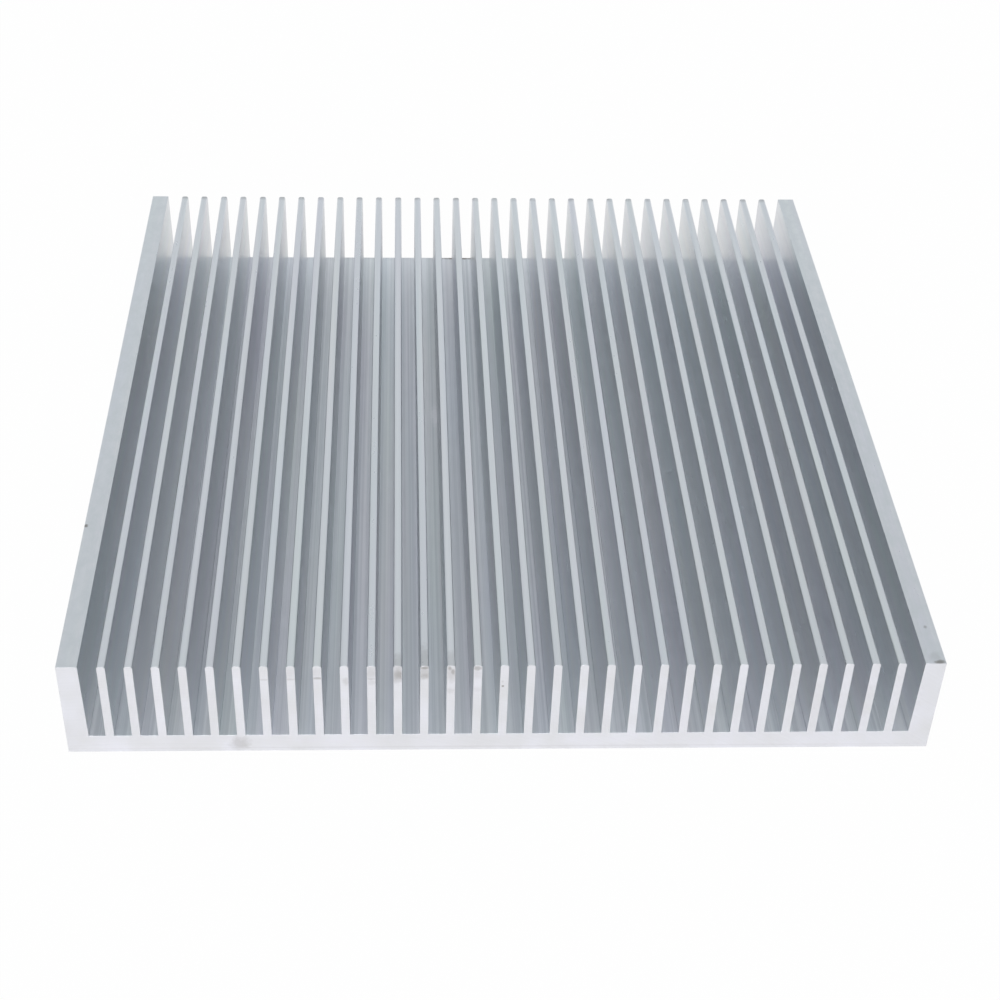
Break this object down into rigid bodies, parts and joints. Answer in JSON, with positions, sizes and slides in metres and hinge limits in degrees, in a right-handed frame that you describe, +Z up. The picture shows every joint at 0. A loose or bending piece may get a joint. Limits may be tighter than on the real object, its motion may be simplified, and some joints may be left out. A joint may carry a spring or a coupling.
{
  "type": "finned heat sink",
  "caption": "Rectangular extruded aluminium heat sink: flat base, a thick wall along each side and a row of thin straight fins between them, sawn square at both ends.",
  "frame": {"origin": "middle of the flat underside, halfway along the extrusion and halfway across the fins", "axes": "+X across the fins, +Y along the extrusion and its channels, +Z up from the underside to the fin tips"},
  "size_m": [0.15, 0.16, 0.02],
  "materials": {
    "bare_aluminium": "as-extruded satin, with brighter sawn ends"
  },
  "bodies": {
    "root": {"heat_sink": "bare_aluminium"}
  },
  "joints": []
}
